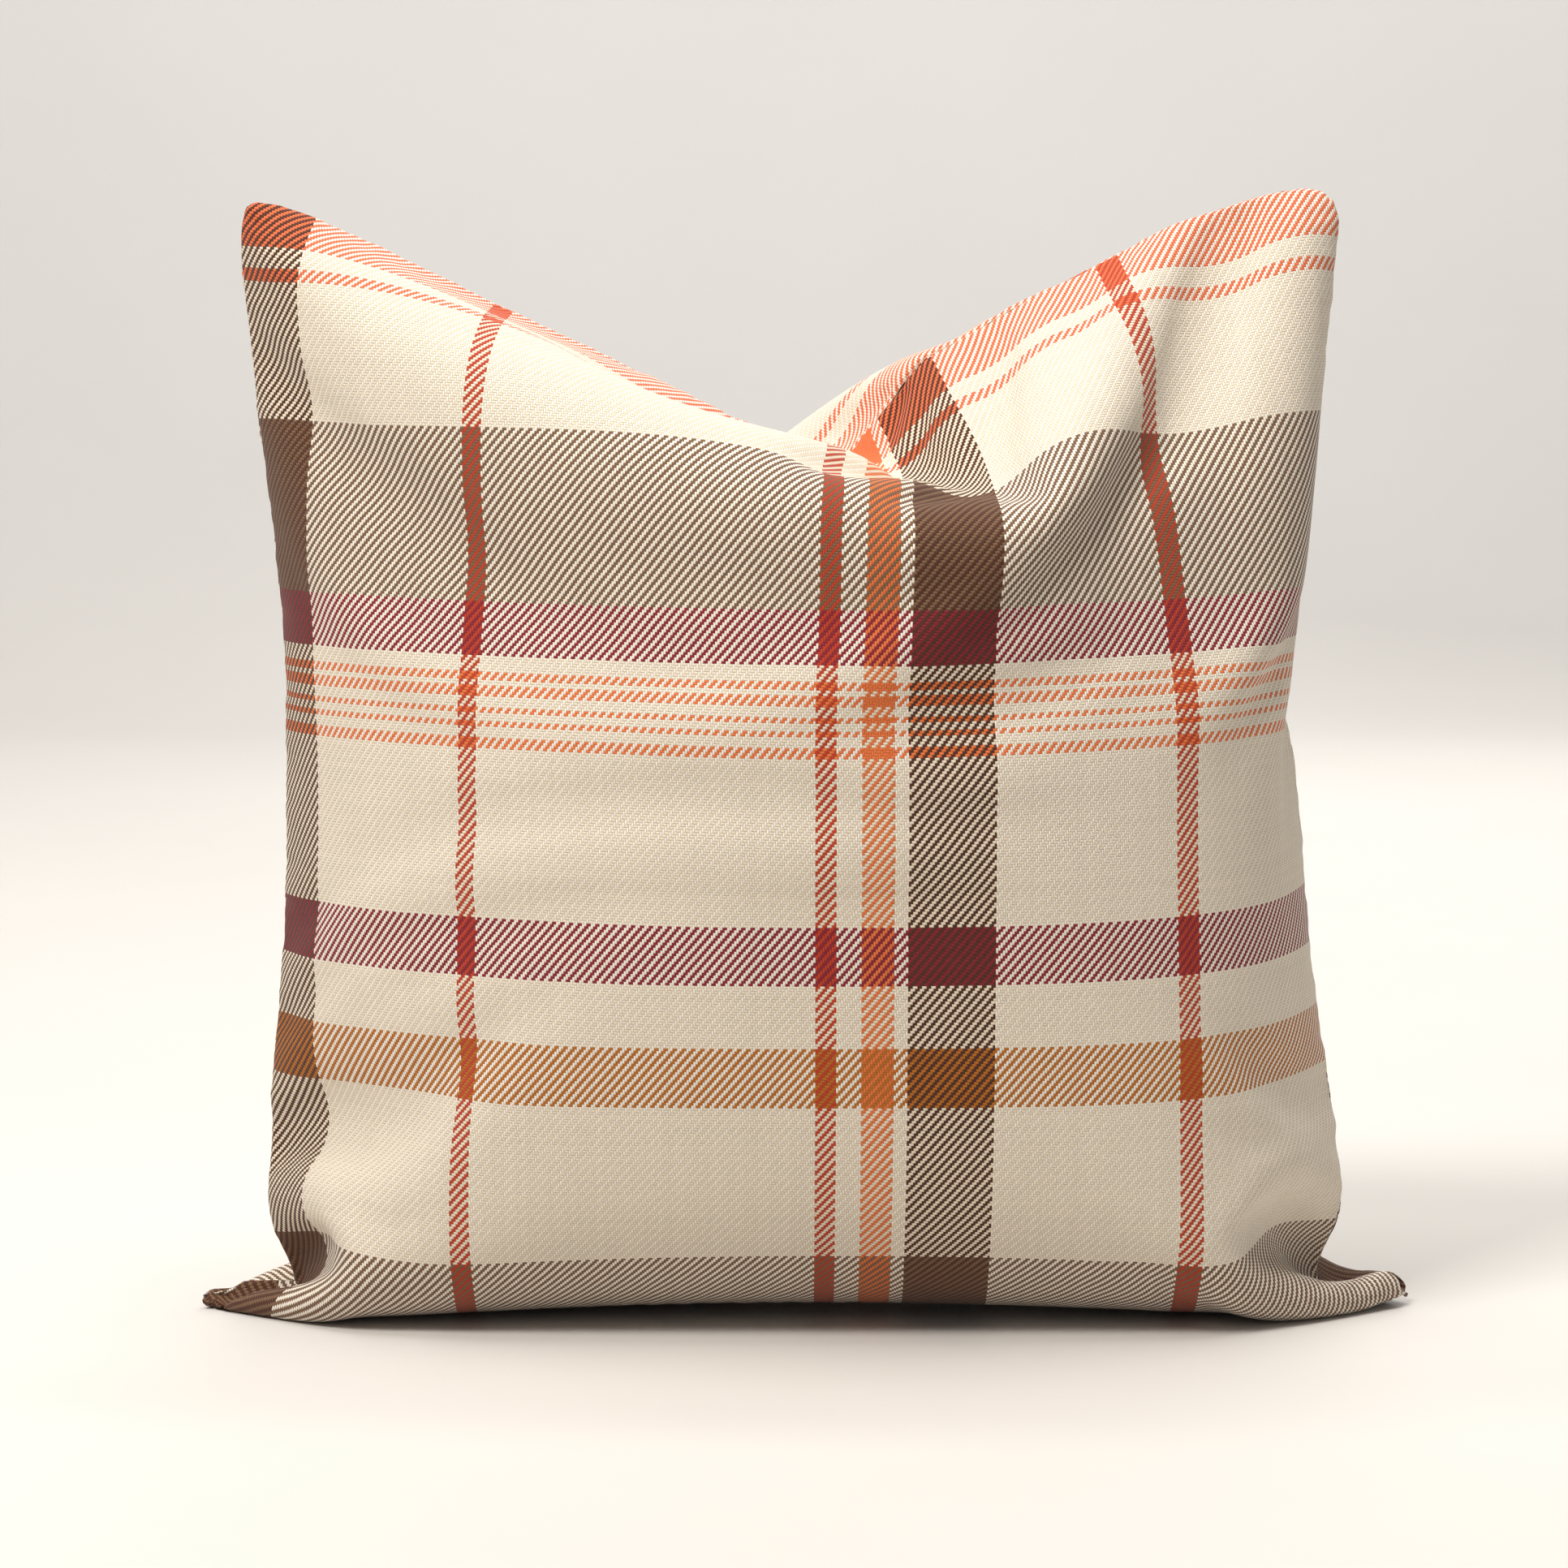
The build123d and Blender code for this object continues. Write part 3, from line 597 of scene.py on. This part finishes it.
# ------------------------------------------------------------------ zipper: tapes and coils
def tape(name, side):
    x = np.linspace(-0.203, 0.203, 260)
    y = np.linspace(0.0025, 0.0110, 9)
    X, Y = np.meshgrid(x, y, indexing="ij")
    ripple = 0.00010 * hash_wave(X * 90.0, 1.0 + side) * ((Y - 0.0025) / 0.0085)
    # the ends are folded down against the cover, where it narrows to its corners
    e = np.clip((np.abs(X) - 0.1905) / 0.0115, 0, 1)
    ripple = ripple - 0.0034 * e * e * (3 - 2 * e) * np.clip(0.4 + (Y - 0.0025) / 0.004, 0, 1)
    top = np.stack([X, side * Y, 0.01138 + ripple], -1)
    low = np.stack([X, side * Y, 0.01092 + ripple], -1)
    # the coil side of a tape has a sewn bead
    top[:, 1, 2] += 0.00012
    tu, tv = np.linspace(0, 1, 260), np.linspace(0, 1, 9)
    return sheet_object(name, top, low, tu, tv, tu, tv, front=side > 0)


def coil(name, side):
    """Nylon coil: a flattened helix along the tape."""
    pitch, turns_to = 0.00125, 0.388
    n = int(turns_to / pitch) * 12
    k = np.arange(n)
    ang = 2 * np.pi * k / 12
    x = -0.194 + turns_to * k / n
    y = side * (0.00165 - 0.00047 * np.cos(ang))
    z = 0.0114 + 0.00072 * np.sin(ang)
    v, f = tube(name, np.stack([x, y, z], -1), 0.00026, 5)
    return new_object(name, v, f)


tape_front, tape_back = tape("zipper_tape_front_web", -1.0), tape("zipper_tape_back_web", 1.0)
coil_front, coil_back = coil("zipper_coil_front_helix", -1.0), coil("zipper_coil_back_helix", 1.0)


# ------------------------------------------------------------------ materials
def lin(c):
    """sRGB 0..255 to linear."""
    out = []
    for x in c:
        x = x / 255.0
        out.append(x / 12.92 if x <= 0.04045 else ((x + 0.055) / 1.055) ** 2.4)
    return (*out, 1.0)


class Graph:
    def __init__(self, name):
        self.mat = bpy.data.materials.new(name)
        self.mat.use_nodes = True
        self.nt = self.mat.node_tree
        self.nt.nodes.clear()
        self.out = self.nt.nodes.new("ShaderNodeOutputMaterial")
        self.bsdf = self.nt.nodes.new("ShaderNodeBsdfPrincipled")
        self.nt.links.new(self.bsdf.outputs[0], self.out.inputs[0])

    def put(self, socket, value):
        if isinstance(value, bpy.types.NodeSocket):
            self.nt.links.new(value, socket)
        else:
            socket.default_value = value

    def node(self, kind, inputs=None, **props):
        n = self.nt.nodes.new("ShaderNode" + kind)
        for k, v in props.items():
            setattr(n, k, v)
        for k, v in (inputs or {}).items():
            self.put(n.inputs[k], v)
        return n

    def math(self, op, a, b=None, c=None, clamp=False):
        n = self.node("Math", operation=op, use_clamp=clamp)
        for k, v in enumerate((a, b, c)):
            if v is not None:
                self.put(n.inputs[k], v)
        return n.outputs[0]

    def mix(self, f, a, b, blend="MIX"):
        n = self.node("Mix", data_type="RGBA", blend_type=blend)
        self.put(n.inputs[0], f)
        self.put(n.inputs[6], a)
        self.put(n.inputs[7], b)
        return n.outputs[2]

    def mixf(self, f, a, b):
        n = self.node("Mix", data_type="FLOAT")
        self.put(n.inputs[0], f)
        self.put(n.inputs[2], a)
        self.put(n.inputs[3], b)
        return n.outputs[0]

    def steps(self, fac, rows, width):
        """Constant colour ramp over 0..width."""
        r = self.node("ValToRGB")
        r.color_ramp.interpolation = "CONSTANT"
        el = r.color_ramp.elements
        while len(el) > 1:
            el.remove(el[-1])
        el[0].position, el[0].color = rows[0][0] / width, lin(rows[0][1])
        for at, c in rows[1:]:
            e = el.new(at / width)
            e.color = lin(c)
        self.put(r.inputs[0], self.math("DIVIDE", fac, width))
        return r.outputs[0]

    def noise(self, vector, scale, detail=2.0, rough=0.5):
        return self.node("TexNoise", {"Vector": vector, "Scale": scale, "Detail": detail, "Roughness": rough}).outputs[0]

    def bump(self, height, strength, distance, normal=None):
        n = self.node("Bump", {"Height": height, "Strength": strength, "Distance": distance})
        if normal is not None:
            self.put(n.inputs["Normal"], normal)
        return n.outputs[0]

    def finish(self, color=None, rough=None, normal=None, **sockets):
        if color is not None:
            self.put(self.bsdf.inputs["Base Color"], color)
        if rough is not None:
            self.put(self.bsdf.inputs["Roughness"], rough)
        if normal is not None:
            self.put(self.bsdf.inputs["Normal"], normal)
        for k, v in sockets.items():
            self.bsdf.inputs[k.replace("_", " ")].default_value = v
        return self.mat


# the weft cream is darker than the warp cream: partly the yarn's own tone, partly painted shade on the weft floats that
# brings out the twill's diagonals
CREAM, CREAM_WEFT_SHADED = (248, 237, 222), (236, 221, 197)
RED, ORANGE, BROWN = (192, 62, 34), (230, 118, 62), (84, 46, 30)
SALMON, TAUPE, WINE, TAN = (230, 112, 68), (124, 93, 67), (138, 33, 47), (184, 108, 30)
WARP = [(0, BROWN), (33.0, CREAM), (107.5, RED), (116.5, CREAM), (250.5, RED), (259.5, CREAM), (269.5, ORANGE),
        (281.0, CREAM), (287.0, BROWN), (319.5, CREAM), (394.0, RED), (403.0, CREAM)]
WEFT = [(0, SALMON), (22, CREAM_WEFT_SHADED), (31, SALMON), (36.5, CREAM_WEFT_SHADED), (91, TAUPE), (157, WINE), (178, CREAM_WEFT_SHADED)] \
    + [row for k in range(5) for row in ((184.8 + 6.3 * k, ORANGE), (187.95 + 6.3 * k, CREAM_WEFT_SHADED))] \
    + [(281, WINE), (303, CREAM_WEFT_SHADED), (328.5, TAN), (353, CREAM_WEFT_SHADED), (420, TAUPE)]
END, PICK = 0.88, 1.05    # mm per warp end and per weft pick


def plaid(name, mirrored):
    """2/2 twill of plied cotton: each yarn has its own colour, and floats over two and under two."""
    g = Graph(name)
    uv = g.node("UVMap", uv_map="ClothUV").outputs[0]
    xyz = g.node("SeparateXYZ", {0: uv})
    u = g.math("MULTIPLY", xyz.outputs[0], SIDE_MM)
    if mirrored:
        u = g.math("SUBTRACT", SIDE_MM, u)
    v = g.math("MULTIPLY_ADD", xyz.outputs[1], -SIDE_MM, SIDE_MM)
    # hand of the cloth: yarns wander a little
    wob = g.noise(uv, 38.0, 2.0)
    u = g.math("MULTIPLY_ADD", g.math("SUBTRACT", wob, 0.5), 0.3, u)
    v = g.math("MULTIPLY_ADD", g.math("SUBTRACT", g.noise(uv, 31.0, 2.0), 0.5), 0.3, v)
    a, b = g.math("DIVIDE", u, END), g.math("DIVIDE", v, PICK)
    i, j = g.math("FLOOR", a), g.math("FLOOR", b)
    fa, fb = g.math("FRACT", a), g.math("FRACT", b)
    k = g.math("FLOORED_MODULO", g.math("ADD", i, j), 4.0)
    warp_up = g.math("LESS_THAN", k, 1.5)
    warp_c = g.steps(g.math("MULTIPLY", g.math("ADD", i, 0.5), END), WARP, SIDE_MM)
    weft_c = g.steps(g.math("MULTIPLY", g.math("ADD", j, 0.5), PICK), WEFT, SIDE_MM)
    # one yarn differs from the next
    vary_a = g.node("TexWhiteNoise", {"W": i}, noise_dimensions="1D").outputs[0]
    vary_b = g.node("TexWhiteNoise", {"W": g.math("ADD", j, 917.0)}, noise_dimensions="1D").outputs[0]
    vary = g.mixf(warp_up, vary_b, vary_a)
    # rounded float: across the yarn and along it
    across = g.mixf(warp_up, fb, fa)
    along = g.mixf(warp_up, g.math("MULTIPLY", g.math("ADD", g.math("SUBTRACT", k, 2.0), fa), 0.5),
                   g.math("MULTIPLY", g.math("ADD", k, fb), 0.5))

    def dome(f, power):
        c = g.math("MULTIPLY_ADD", f, 2.0, -1.0)
        return g.math("SUBTRACT", 1.0, g.math("POWER", g.math("ABSOLUTE", c), power))

    height = g.math("MULTIPLY", g.math("POWER", g.math("MAXIMUM", dome(across, 2.0), 0.0), 0.6),
                    g.math("MULTIPLY_ADD", g.math("MAXIMUM", dome(along, 2.4), 0.0), 0.62, 0.38))
    # ply twist: fine slanted lines on each float
    ply = g.math("SINE", g.math("MULTIPLY", g.math("ADD", g.math("MULTIPLY", along, 3.0), across), 6.2832))
    height = g.math("MULTIPLY_ADD", ply, 0.05, height)
    fibre = g.noise(g.node("CombineXYZ", {0: g.math("MULTIPLY", u, 1.0), 1: v, 2: 0.0}).outputs[0], 3.2, 4.0, 0.65)
    cloud = g.noise(uv, 9.0, 3.0)
    colour = g.mix(warp_up, weft_c, warp_c)
    # the yarn's height darkens the colour between yarns and towards the float ends: painted shade in the weave's
    # hollows, added to the yarns' own tone from vary, fibre and cloud
    weave_shade_and_tone = g.math("ADD", g.math("MULTIPLY_ADD", height, 0.46, 0.58), g.math("MULTIPLY", g.math("SUBTRACT", vary, 0.5), 0.07))
    weave_shade_and_tone = g.math("ADD", weave_shade_and_tone, g.math("MULTIPLY", g.math("SUBTRACT", fibre, 0.5), 0.24))
    weave_shade_and_tone = g.math("ADD", weave_shade_and_tone, g.math("MULTIPLY", g.math("SUBTRACT", cloud, 0.5), 0.07))
    colour = g.mix(1.0, colour, g.node("CombineColor", {0: weave_shade_and_tone, 1: weave_shade_and_tone, 2: weave_shade_and_tone}).outputs[0], "MULTIPLY")
    # fibres stand pale on the dark yarns
    lint = g.math("MULTIPLY", g.math("SUBTRACT", g.noise(uv, 900.0, 2.0, 0.8), 0.60, clamp=True), 0.55)
    colour = g.mix(lint, colour, lin(CREAM))
    normal = g.bump(height, 0.85, 0.00028)
    normal = g.bump(fibre, 0.22, 0.00012, normal)
    rough = g.math("MULTIPLY_ADD", fibre, 0.14, 0.78)
    return g.finish(colour, rough, normal, Sheen_Weight=0.12, Sheen_Roughness=0.5, Specular_IOR_Level=0.25)


def plain_cloth(name, colour, pitch, mm_u, mm_v, soft=0.7):
    """Plain weave in one colour; mm_u and mm_v are the piece's flat size."""
    g = Graph(name)
    uv = g.node("UVMap", uv_map="ClothUV").outputs[0]
    xyz = g.node("SeparateXYZ", {0: uv})
    a = g.math("MULTIPLY", xyz.outputs[0], mm_u / pitch)
    b = g.math("MULTIPLY", xyz.outputs[1], mm_v / pitch)
    h = g.math("MULTIPLY", g.math("SINE", g.math("MULTIPLY", a, 3.14159)), g.math("SINE", g.math("MULTIPLY", b, 3.14159)))
    fine = g.noise(g.node("CombineXYZ", {0: a, 1: b, 2: 0.0}).outputs[0], 0.7, 4.0, 0.6)
    # the weave's height h darkens the colour a little where the yarns dip: painted shade in the weave's hollows
    tone = g.math("MULTIPLY_ADD", h, 0.05, g.math("MULTIPLY_ADD", fine, 0.16, 0.88))
    c = g.mix(1.0, lin(colour), g.node("CombineColor", {0: tone, 1: tone, 2: tone}).outputs[0], "MULTIPLY")
    n = g.bump(g.math("MULTIPLY_ADD", fine, 0.4, h), 0.5, 0.00012)
    return g.finish(c, g.math("MULTIPLY_ADD", fine, 0.1, soft), n, Sheen_Weight=0.08, Specular_IOR_Level=0.3)


def object_noise(name, colour, dark, scale, bump, rough, metal=0.0, stretch=(1, 1, 1), spread=0.1, sheen=0.0, spec=0.5):
    """Fine mottled finish from the piece's own coordinates."""
    g = Graph(name)
    co = g.node("TexCoord").outputs["Object"]
    co = g.node("Mapping", {0: co, 3: stretch}).outputs[0]
    n1, n2 = g.noise(co, scale, 5.0, 0.6), g.noise(co, scale * 7.3, 3.0, 0.6)
    c = g.mix(g.math("MULTIPLY_ADD", n1, 1.4, -0.2, clamp=True), lin(dark), lin(colour))
    n = g.bump(g.math("ADD", n1, g.math("MULTIPLY", n2, 0.5)), 0.5, bump)
    return g.finish(c, g.math("MULTIPLY_ADD", n2, spread, rough - spread / 2), n, Metallic=metal, Sheen_Weight=sheen,
                    Specular_IOR_Level=spec)


def twisted_thread(name, colour):
    g = Graph(name)
    co = g.node("TexCoord").outputs["Object"]
    w = g.node("TexWave", {"Vector": co, "Scale": 900.0, "Distortion": 2.0, "Detail": 1.0}, bands_direction="DIAGONAL").outputs[1]
    # the twist's grooves, low in w, get a darker copy of the colour: painted shade along the ply twist
    c = g.mix(w, lin([x * 0.78 for x in colour]), lin(colour))
    return g.finish(c, g.math("MULTIPLY_ADD", w, 0.12, 0.55), g.bump(w, 0.6, 0.00004), Sheen_Weight=0.1)


m_front = plaid("plaid_twill_front", False)
m_back = plaid("plaid_twill_back", True)
m_insert = plain_cloth("insert_cotton", (238, 236, 230), 0.42, 484, 484, 0.75)
m_fill = object_noise("polyester_fibre", (246, 246, 244), (214, 214, 212), 160.0, 0.0012, 0.8, stretch=(1, 1, 3), sheen=0.25, spec=0.3)
m_thread = twisted_thread("sewing_thread", (226, 214, 192))
m_label = plain_cloth("label_satin", (244, 242, 236), 0.25, 35, 35, 0.45)
m_tape = plain_cloth("zipper_tape_weave", (222, 210, 188), 0.5, 406, 8.5, 0.7)
m_coil = object_noise("nylon_coil", (226, 214, 194), (206, 192, 170), 220.0, 0.00003, 0.32, spec=0.5)
m_metal = object_noise("brushed_zinc", (196, 196, 194), (150, 150, 150), 420.0, 0.00002, 0.32, metal=1.0, stretch=(0.15, 1, 1), spread=0.16)

for ob, mats in ((cover_front, m_front), (cover_back, m_back), (insert_front, m_insert), (insert_back, m_insert),
                 (fill, m_fill), (care, m_label), (maker, m_label), (seam_line, m_thread), (insert_line, m_thread),
                 (tape_front, m_tape), (tape_back, m_tape), (coil_front, m_coil), (coil_back, m_coil)):
    ob.data.materials.append(mats)
for node in ("zipper_slider", "zipper_pull_tab", "zipper_top_stops", "zipper_bottom_stop"):
    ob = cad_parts[node]
    if ob.material_slots:
        for s in ob.material_slots:
            s.material = m_metal
    else:
        ob.data.materials.append(m_metal)

# ------------------------------------------------------------------ frame
for ob, node, slot in (
        (cover_front, "cover_front_panel", "cover_cloth"), (cover_back, "cover_back_panel", "cover_cloth"),
        (insert_front, "insert_front_panel", "insert_cloth"), (insert_back, "insert_back_panel", "insert_cloth"),
        (fill, "insert_fill", "fibre_fill"), (care, "care_label", "label_tape"), (maker, "insert_label", "label_tape"),
        (seam_line, "seam_thread", "thread"), (insert_line, "insert_seam_thread", "thread"),
        (tape_front, "zipper_tape_front", "zipper_tape"), (tape_back, "zipper_tape_back", "zipper_tape"),
        (coil_front, "zipper_coil_front", "zipper_coil"), (coil_back, "zipper_coil_back", "zipper_coil")):
    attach(ob, BODY)
    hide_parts(node)

# ------------------------------------------------------------------ stage
profile = [(-9.0, 0.0), (-3.0, 0.0), (0.0, 0.0), (2.4, 0.0)] \
    + [(2.4 + 1.0 * math.sin(k * math.pi / 24), 1.0 - 1.0 * math.cos(k * math.pi / 24)) for k in range(1, 13)] + [(3.4, 5.0)]
floor = new_object("floor", [(x, y, z) for x in (-9.0, 9.0) for y, z in profile],
                   [(k, len(profile) + k, len(profile) + k + 1, k + 1) for k in range(len(profile) - 1)])
g = Graph("pale_floor")
co = g.node("TexCoord").outputs["Object"]
tone = g.noise(co, 3.0, 4.0)
high = g.math("MULTIPLY", g.node("SeparateXYZ", {0: co}).outputs[2], 1.1, clamp=True)
pale = g.mix(high, g.mix(tone, lin((211, 207, 202)), lin((217, 213, 208))), g.mix(tone, lin((226, 224, 221)), lin((232, 230, 227))))
floor.data.materials.append(g.finish(pale, 0.75,
                                     g.bump(g.noise(co, 260.0, 3.0), 0.08, 0.0004), Specular_IOR_Level=0.2))

world = bpy.data.worlds.new("studio")
bpy.context.scene.world = world
world.use_nodes = True
bg = world.node_tree.nodes["Background"]
bg.inputs[0].default_value = (0.93, 0.92, 0.91, 1)
bg.inputs[1].default_value = 0.22


def softbox(name, at, to, size, energy, colour=(1, 1, 1)):
    li = bpy.data.lights.new(name, "AREA")
    li.shape, li.size, li.size_y, li.energy, li.color = "RECTANGLE", size[0], size[1], energy, colour
    ob = bpy.data.objects.new(name, li)
    bpy.context.scene.collection.objects.link(ob)
    ob.location = at
    ob.rotation_euler = (Vector(to) - Vector(at)).to_track_quat("-Z", "Y").to_euler()
    return ob


softbox("key", (-1.0, -1.2, 2.2), (0, 0, 0.28), (0.7, 0.7), 51.0, (1.0, 0.965, 0.92))
softbox("top", (0.0, -0.2, 2.4), (0, 0, 0.3), (1.2, 0.9), 27.0, (1.0, 0.97, 0.93))
softbox("fill", (1.9, -1.7, 0.9), (0, 0, 0.2), (1.4, 1.4), 2.2, (0.96, 0.98, 1.0))
softbox("rear", (0.6, 2.2, 1.3), (0, 0, 0.25), (1.6, 1.2), 14.0, (1.0, 0.99, 0.97))
softbox("wall", (0.0, 1.0, 3.4), (0, 3.4, 1.0), (3.0, 1.0), 72.0)

cam_data = bpy.data.cameras.new("camera")
cam = bpy.data.objects.new("camera", cam_data)
bpy.context.scene.collection.objects.link(cam)
cam_data.lens, cam_data.sensor_width = 105.0, 36.0
cam.location = (-0.010, -1.824, 0.411)
cam.rotation_euler = (Vector((-0.010, 0, 0.213)) - cam.location).to_track_quat("-Z", "Y").to_euler()
cam_data.clip_start, cam_data.clip_end = 0.05, 60.0
bpy.context.scene.camera = cam
bpy.context.scene.view_settings.view_transform = "Standard"
